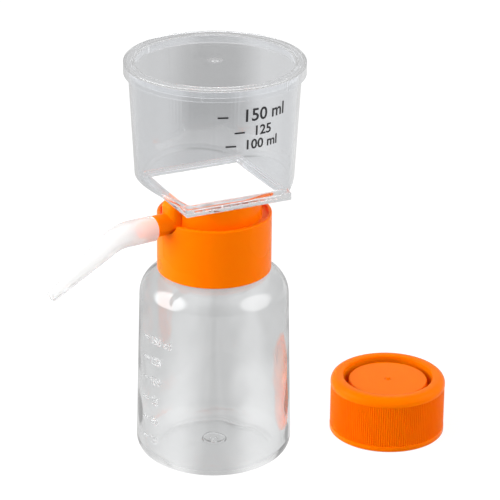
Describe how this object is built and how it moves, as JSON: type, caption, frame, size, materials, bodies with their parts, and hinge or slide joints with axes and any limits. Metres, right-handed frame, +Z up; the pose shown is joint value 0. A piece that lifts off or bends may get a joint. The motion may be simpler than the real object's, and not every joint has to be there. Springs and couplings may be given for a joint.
{
  "type": "vacuum filtration unit",
  "caption": "Clear round funnel on a square membrane filter, screwed by a collar with a suction nozzle to a storage bottle, with a bent hose connector, a funnel lid and a loose screw cap.",
  "frame": {"origin": "middle of the outline of the whole set seen from above, on the surface that the bottle and the loose cap stand on", "axes": "+Z up along the bottle's axis, +X from the bottle towards the loose cap, +Y to the back"},
  "size_m": [0.1746, 0.0936, 0.1834],
  "materials": {
    "clear_bottle": "clear, glossy",
    "clear_filter": "clear, glossy",
    "clear_lid": "clear, glossy",
    "orange_adapter": "satin moulded plastic",
    "orange_cap": "satin moulded plastic",
    "frosted_connector": "milky, translucent",
    "membrane": "matt, microporous",
    "port_plug": "matt, porous",
    "gasket": "matt, soft"
  },
  "bodies": {
    "bottle": {"receiver_bottle": "clear_bottle", "storage_cap": "orange_cap"},
    "gasket": {"neck_gasket": "gasket"},
    "filter_head": {"vacuum_adapter": "orange_adapter", "port_plug": "port_plug", "membrane_support": "clear_filter", "filter_membrane": "membrane", "filter_funnel": "clear_filter"},
    "lid": {"funnel_lid": "clear_lid"},
    "connector": {"hose_connector": "frosted_connector"}
  },
  "joints": [
    {"name": "head_rise", "type": "slide", "parent": "bottle", "child": "gasket", "axis": [0, 0, 1], "range_m": [0, 0.006]},
    {"name": "head_unscrew", "type": "hinge", "parent": "gasket", "child": "filter_head", "pos_m": [-0.01738, -0.00034, 0.1], "axis": [0, 0, 1], "range_deg": [0, 540]},
    {"name": "lid_lift", "type": "slide", "parent": "filter_head", "child": "lid", "axis": [0, 0, 1], "range_m": [0, 0.03]},
    {"name": "connector_swivel", "type": "hinge", "parent": "filter_head", "child": "connector", "pos_m": [-0.04254, -0.01668, 0.1127], "axis": [-0.8387, -0.5446, 0], "continuous": true}
  ],
  "couplings": [
    {"joint": "head_rise", "follows": "head_unscrew", "m_per_rad": 0.00063661}
  ]
}
